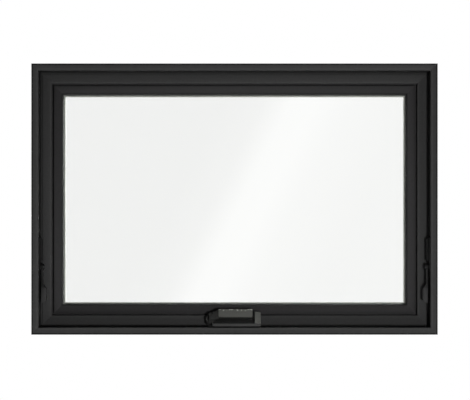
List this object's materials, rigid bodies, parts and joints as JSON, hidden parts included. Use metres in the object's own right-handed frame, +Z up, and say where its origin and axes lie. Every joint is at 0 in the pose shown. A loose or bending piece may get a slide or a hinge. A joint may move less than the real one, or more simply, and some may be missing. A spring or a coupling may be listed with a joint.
{
  "type": "top hung awning window",
  "caption": "Closed awning window with a mitred dark frame, sash and sealed glass, a folding crank in its cover on the sill and a lever lock on each jamb.",
  "frame": {"origin": "middle of the sill's underside, at mid width and mid depth of the frame", "axes": "+X to the right as seen from the room, +Y from the room to the weather side, +Z up"},
  "size_m": [0.914, 0.0885, 0.61],
  "materials": {
    "frame": "fine grained matte black",
    "stop": "fine grained matte black",
    "sash": "fine grained matte black",
    "bead": "smooth matte black",
    "weatherstrip": "smooth black",
    "glass": "clear float glass",
    "spacer": "dull grey",
    "operator_cover": "moulded satin black",
    "crank": "satin black",
    "grip": "satin dark grey",
    "lock": "satin black",
    "pin": "turned steel",
    "hinge": "pressed stainless steel"
  },
  "bodies": {
    "window_frame": {"bead_bottom": "bead", "bead_left": "bead", "bead_right": "bead", "bead_top": "bead", "crank_catch": "grip", "crank_hub": "crank", "crank_pin": "pin", "crank_spindle": "pin", "frame_head": "frame", "frame_jamb_left": "frame", "frame_jamb_right": "frame", "frame_sill": "frame", "glass_inner": "glass", "glass_outer": "glass", "hinge_arm_left": "hinge", "hinge_arm_right": "hinge", "hinge_link_left": "hinge", "hinge_link_right": "hinge", "hinge_track_left": "hinge", "hinge_track_right": "hinge", "lock_base_left": "lock", "lock_base_right": "lock", "lock_pin_left": "pin", "lock_pin_right": "pin", "operator_cover": "operator_cover", "sash_bottom_rail": "sash", "sash_stile_left": "sash", "sash_stile_right": "sash", "sash_top_rail": "sash", "spacer_bottom": "spacer", "spacer_left": "spacer", "spacer_right": "spacer", "spacer_top": "spacer", "stop_head": "stop", "stop_jamb_left": "stop", "stop_jamb_right": "stop", "stop_sill": "stop", "weatherstrip_head": "weatherstrip", "weatherstrip_jamb_left": "weatherstrip", "weatherstrip_jamb_right": "weatherstrip", "weatherstrip_sill": "weatherstrip"},
    "crank": {"crank_arm": "crank", "crank_grip": "grip"},
    "left_lock_lever": {"lock_lever_left": "lock"},
    "right_lock_lever": {"lock_lever_right": "lock"}
  },
  "joints": [
    {"name": "crank_fold", "type": "hinge", "parent": "window_frame", "child": "crank", "pos_m": [-0.054, -0.02945, 0.03836], "axis": [0, -0.5736, -0.8192], "range_deg": [0, 125]},
    {"name": "left_lock_swing", "type": "hinge", "parent": "window_frame", "child": "left_lock_lever", "pos_m": [-0.4345, -0.023, 0.152], "axis": [-1, 0, 0], "range_deg": [0, 90]},
    {"name": "right_lock_swing", "type": "hinge", "parent": "window_frame", "child": "right_lock_lever", "pos_m": [0.4345, -0.023, 0.152], "axis": [-1, 0, 0], "range_deg": [0, 90]}
  ]
}
